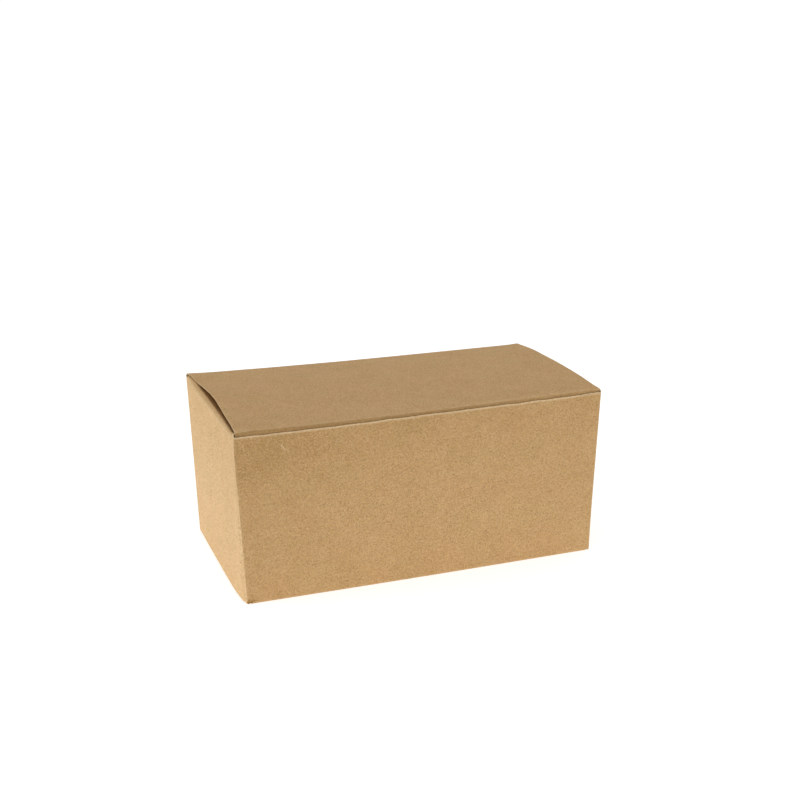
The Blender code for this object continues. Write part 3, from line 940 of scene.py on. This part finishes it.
def kraft_material():
    material = bpy.data.materials.new("kraft_board")
    material.use_nodes = True
    tree = material.node_tree
    tree.nodes.clear()
    n = Nodes(tree)
    place = n.attribute("sheet", "Vector")
    crease, cut, shade_and_line_amount = (n.attribute(name) for name in ("crease", "cut", "shade_and_line_amount"))
    painted_light_and_tone, fibre = (n.attribute(name) for name in ("tone", "fibre"))

    # Clouds, patches and grain of the pulp, with the painted light and shade that the tone attribute
    # holds
    cloud = n.noise(place, 55.0, 3.0, 0.62)
    patch = n.noise(place, 210.0, 2.0, 0.6, 0.4, (3.1, 1.7, 0.2))
    grain = n.noise(place, 1200.0, 2.0, 0.7, 0.3, (0.4, 5.2, 1.1))
    tone = n.maths("ADD", painted_light_and_tone, n.maths("MULTIPLY_ADD", cloud, 0.26, -0.13))
    both = n.maths("MULTIPLY_ADD", patch, 0.2, n.maths("MULTIPLY_ADD", grain, 0.7, -0.45))
    tone = n.maths("ADD", tone, n.maths("MULTIPLY", fibre, both))
    colour = n.vector("MULTIPLY_ADD", tone, TONE, BASE)
    hue = n.noise(place, 60.0, 2.0, 0.5, 0.3, (7.7, 2.2, 3.1))
    greener, redder = (n.mix(1.0, colour, shade, "MULTIPLY") for shade in (GREENER, REDDER))
    colour = n.mix(n.spread(hue, 0.35, 0.65), greener, redder)

    # Fibres and specks
    light = n.threads(fibre, place, 850.0, (1.3, 2.9, 0.7), 0.11, 900.0, 0.42, 0.60)
    dark = n.threads(fibre, place, 800.0, (6.1, 0.8, 1.9), 0.09, 850.0, 0.45, 0.62)
    fine_light = n.threads(fibre, place, 1300.0, (9.3, 4.4, 2.2), 0.13, 1000.0, 0.42, 0.62)
    colour = n.mix(n.maths("MULTIPLY", light, 0.50), colour, LIGHT_FIBRE)
    colour = n.mix(n.maths("MULTIPLY", fine_light, 0.40), colour, LIGHT_FIBRE)
    colour = n.mix(n.maths("MULTIPLY", dark, 0.28), colour, DARK_FIBRE)
    cells = n.add("ShaderNodeTexVoronoi", {"Vector": place, "Scale": 230.0})
    chosen = n.spread(cells.outputs["Color"], 0.90, 0.93)
    spot = n.maths("MULTIPLY", chosen, n.spread(cells.outputs["Distance"], 0.05, 0.13, 1.0, 0.0))
    colour = n.mix(n.maths("MULTIPLY", spot, 0.5), colour, SPECK)

    # Folds lighter from wear and a painted highlight, painted shade past the lid tuck's fold and a
    # darker line past the dust flaps' folds, cut edges lighter from fuzz and a painted highlight, and
    # the scuff
    wear = n.noise(place, 330.0, 3.0, 0.6, 0.0, (2.2, 7.7, 0.5))
    worn_and_highlight = n.maths("MULTIPLY", crease, n.spread(wear, 0.35, 0.7, 0.12, 0.5))
    colour = n.mix(worn_and_highlight, colour, WORN_AND_HIGHLIGHT)
    shade_and_line_past_fold = n.mix(1.0, colour, SHADE_AND_LINE_PAST_FOLD, "MULTIPLY")
    colour = n.mix(n.maths("MULTIPLY", shade_and_line_amount, 0.9), colour, shade_and_line_past_fold)
    fuzz = n.noise(place, 700.0, 3.0, 0.7, 0.6, (4.8, 3.3, 0.9))
    frayed_and_highlight = n.maths("MULTIPLY", cut, n.spread(fuzz, 0.3, 0.65, 0.55, 1.0))
    colour = n.mix(frayed_and_highlight, colour, CUT)
    colour = n.mix(scuff_mark(n, place, wear), colour, CUT)

    relief = n.maths("MULTIPLY_ADD", grain, 0.5, n.maths("MULTIPLY", light, 0.5))
    relief = n.maths("SUBTRACT", relief, n.maths("MULTIPLY", dark, 0.35))
    relief = n.maths("ADD", relief, n.maths("MULTIPLY", patch, 0.5))
    bump = n.add("ShaderNodeBump", {"Strength": 1.0, "Distance": 0.24 * MM, "Height": relief})
    rough = n.maths("MULTIPLY_ADD", grain, 0.14, 0.72)
    shader = n.add(
        "ShaderNodeBsdfPrincipled",
        {
            "Base Color": colour,
            "Roughness": rough,
            "Specular IOR Level": 0.22,
            "Normal": bump.outputs[0],
        },
    )
    n.add("ShaderNodeOutputMaterial", {"Surface": shader.outputs[0]})
    return material


def scuff_mark(n, place, wear):
    """How strongly the scuff shows: a short line with uneven sides."""
    from_start = n.vector("SUBTRACT", place, SCUFF_START)
    way = n.vector("DOT_PRODUCT", from_start, SCUFF_WAY, output="Value")
    off = n.vector("DOT_PRODUCT", from_start, SCUFF_ACROSS, output="Value")
    off = n.maths("ADD", off, n.maths("MULTIPLY_ADD", wear, 1.2 * MM, -0.6 * MM))
    line = n.spread(n.maths("ABSOLUTE", off), 0.1 * MM, 0.5 * MM, 0.5, 0.0)
    line = n.maths("MULTIPLY", line, n.spread(way, 0.0, 0.6 * MM))
    end = n.spread(way, SCUFF_LENGTH - 0.6 * MM, SCUFF_LENGTH, 1.0, 0.0)
    return n.maths("MULTIPLY", line, end)


# Floor, light and camera

FLOOR_REACH = 30.0
FLOOR_LEVEL = -0.05 * MM
CAMERA_PLACE = (-0.25317, -0.67975, 0.31375)
CAMERA_YAW = math.radians(20.81)
CAMERA_PITCH = math.radians(18.044)
CAMERA_LENS = 66.83

# The world and the floor look white, but light the box less: how strongly the world does, how much
# the floor glows where it is seen, and how strongly it lights the box between two distances
WORLD_LIGHT = 0.62
FLOOR_GLOW = 0.5
TABLE_LIGHT = 0.45
TABLE_NEAR = 0.1
TABLE_FAR = 0.42


def seen_ray(n):
    """1 for a ray that comes from the camera, also by way of a reflection or through glass."""
    path = n.add("ShaderNodeLightPath")
    seen = n.maths("MAXIMUM", path.outputs["Is Camera Ray"], path.outputs["Is Glossy Ray"])
    return n.maths("MAXIMUM", seen, path.outputs["Is Transmission Ray"])


def build_stage():
    """The floor, which is clear from below."""
    mesh = bpy.data.meshes.new("floor")
    ways = ((-1, -1), (1, -1), (1, 1), (-1, 1))
    corners = [(x * FLOOR_REACH, y * FLOOR_REACH, FLOOR_LEVEL) for x, y in ways]
    mesh.from_pydata(corners, [], [(0, 1, 2, 3)])
    floor = bpy.data.objects.new("floor", mesh)
    bpy.context.scene.collection.objects.link(floor)
    material = bpy.data.materials.new("floor_white")
    material.use_nodes = True
    tree = material.node_tree
    tree.nodes.clear()
    n = Nodes(tree)
    diffuse = n.add("ShaderNodeBsdfDiffuse", {"Color": (0.9, 0.9, 0.9, 1)}).outputs[0]
    seen = seen_ray(n)
    middle = n.add("ShaderNodeTexCoord").outputs["Object"]
    distance = n.vector("LENGTH", middle, output="Value")
    table = n.spread(distance, TABLE_NEAR, TABLE_FAR, TABLE_LIGHT, 0.0)
    table = n.maths("MULTIPLY", n.maths("SUBTRACT", 1.0, seen), table)
    strength = n.maths("MULTIPLY_ADD", seen, FLOOR_GLOW, table)
    glow = n.add("ShaderNodeEmission", {"Color": (1, 1, 1, 1), "Strength": strength})
    both = n.add("ShaderNodeAddShader", {0: diffuse, 1: glow.outputs[0]}).outputs[0]
    from_below = n.add("ShaderNodeNewGeometry").outputs["Backfacing"]
    clear = n.add("ShaderNodeBsdfTransparent").outputs[0]
    floor_shader = n.add("ShaderNodeMixShader", {0: from_below, 1: both, 2: clear}).outputs[0]
    n.add("ShaderNodeOutputMaterial", {"Surface": floor_shader})
    mesh.materials.append(material)


def build_world():
    world = bpy.data.worlds.new("studio")
    bpy.context.scene.world = world
    world.use_nodes = True
    tree = world.node_tree
    tree.nodes.clear()
    n = Nodes(tree)
    strength = n.maths("MULTIPLY_ADD", seen_ray(n), 1 - WORLD_LIGHT, WORLD_LIGHT)
    sky = n.add("ShaderNodeBackground", {"Color": (1, 1, 1, 1), "Strength": strength})
    n.add("ShaderNodeOutputWorld", {"Surface": sky.outputs[0]})


def add_softbox(name, place, width, height, power, colour):
    """A rectangular light that faces the box."""
    light = bpy.data.lights.new(name, "AREA")
    light.color = colour
    light.shape = "RECTANGLE"
    light.size = width
    light.size_y = height
    light.energy = power
    obj = bpy.data.objects.new(name, light)
    obj.location = place
    aim = Vector((0, 0, HEIGHT / 2)) - Vector(place)
    obj.rotation_euler = aim.to_track_quat("-Z", "Y").to_euler()
    bpy.context.scene.collection.objects.link(obj)


def build_camera():
    level, down = math.cos(CAMERA_PITCH), math.sin(CAMERA_PITCH)
    forward = Vector((math.sin(CAMERA_YAW) * level, math.cos(CAMERA_YAW) * level, -down))
    right = forward.cross(Vector((0, 0, 1))).normalized()
    up = right.cross(forward)
    camera = bpy.data.cameras.new("camera")
    camera.lens = CAMERA_LENS
    camera.sensor_width = 36
    camera.sensor_fit = "HORIZONTAL"
    camera.clip_start = 0.01
    camera.clip_end = 100
    obj = bpy.data.objects.new("camera", camera)
    turn = Matrix((right, up, -forward)).transposed().to_4x4()
    obj.matrix_world = Matrix.Translation(CAMERA_PLACE) @ turn
    bpy.context.scene.collection.objects.link(obj)
    bpy.context.scene.camera = obj


bpy.context.scene.view_settings.view_transform = "Standard"
build_camera()
build_world()
build_stage()
add_softbox("key", (-1.3, 0.1, 0.2), 0.9, 0.5, 8.4, (0.885, 1.045, 1.27))
add_softbox("fill", (1.3, -0.5, 0.3), 0.4, 0.4, 5.0, (1.0, 1.0, 1.0))

kraft = kraft_material()
strip = build_walls()
build_lid(strip)
build_lid_tuck(strip)
build_dust_flap("left_dust_sheet", -1, True, strip)
build_dust_flap("right_dust_sheet", 1, True, strip)
build_bottom(strip)
build_bottom_tuck(strip)
build_dust_flap("bottom_left_dust_sheet", -1, False, strip)
build_dust_flap("bottom_right_dust_sheet", 1, False, strip)
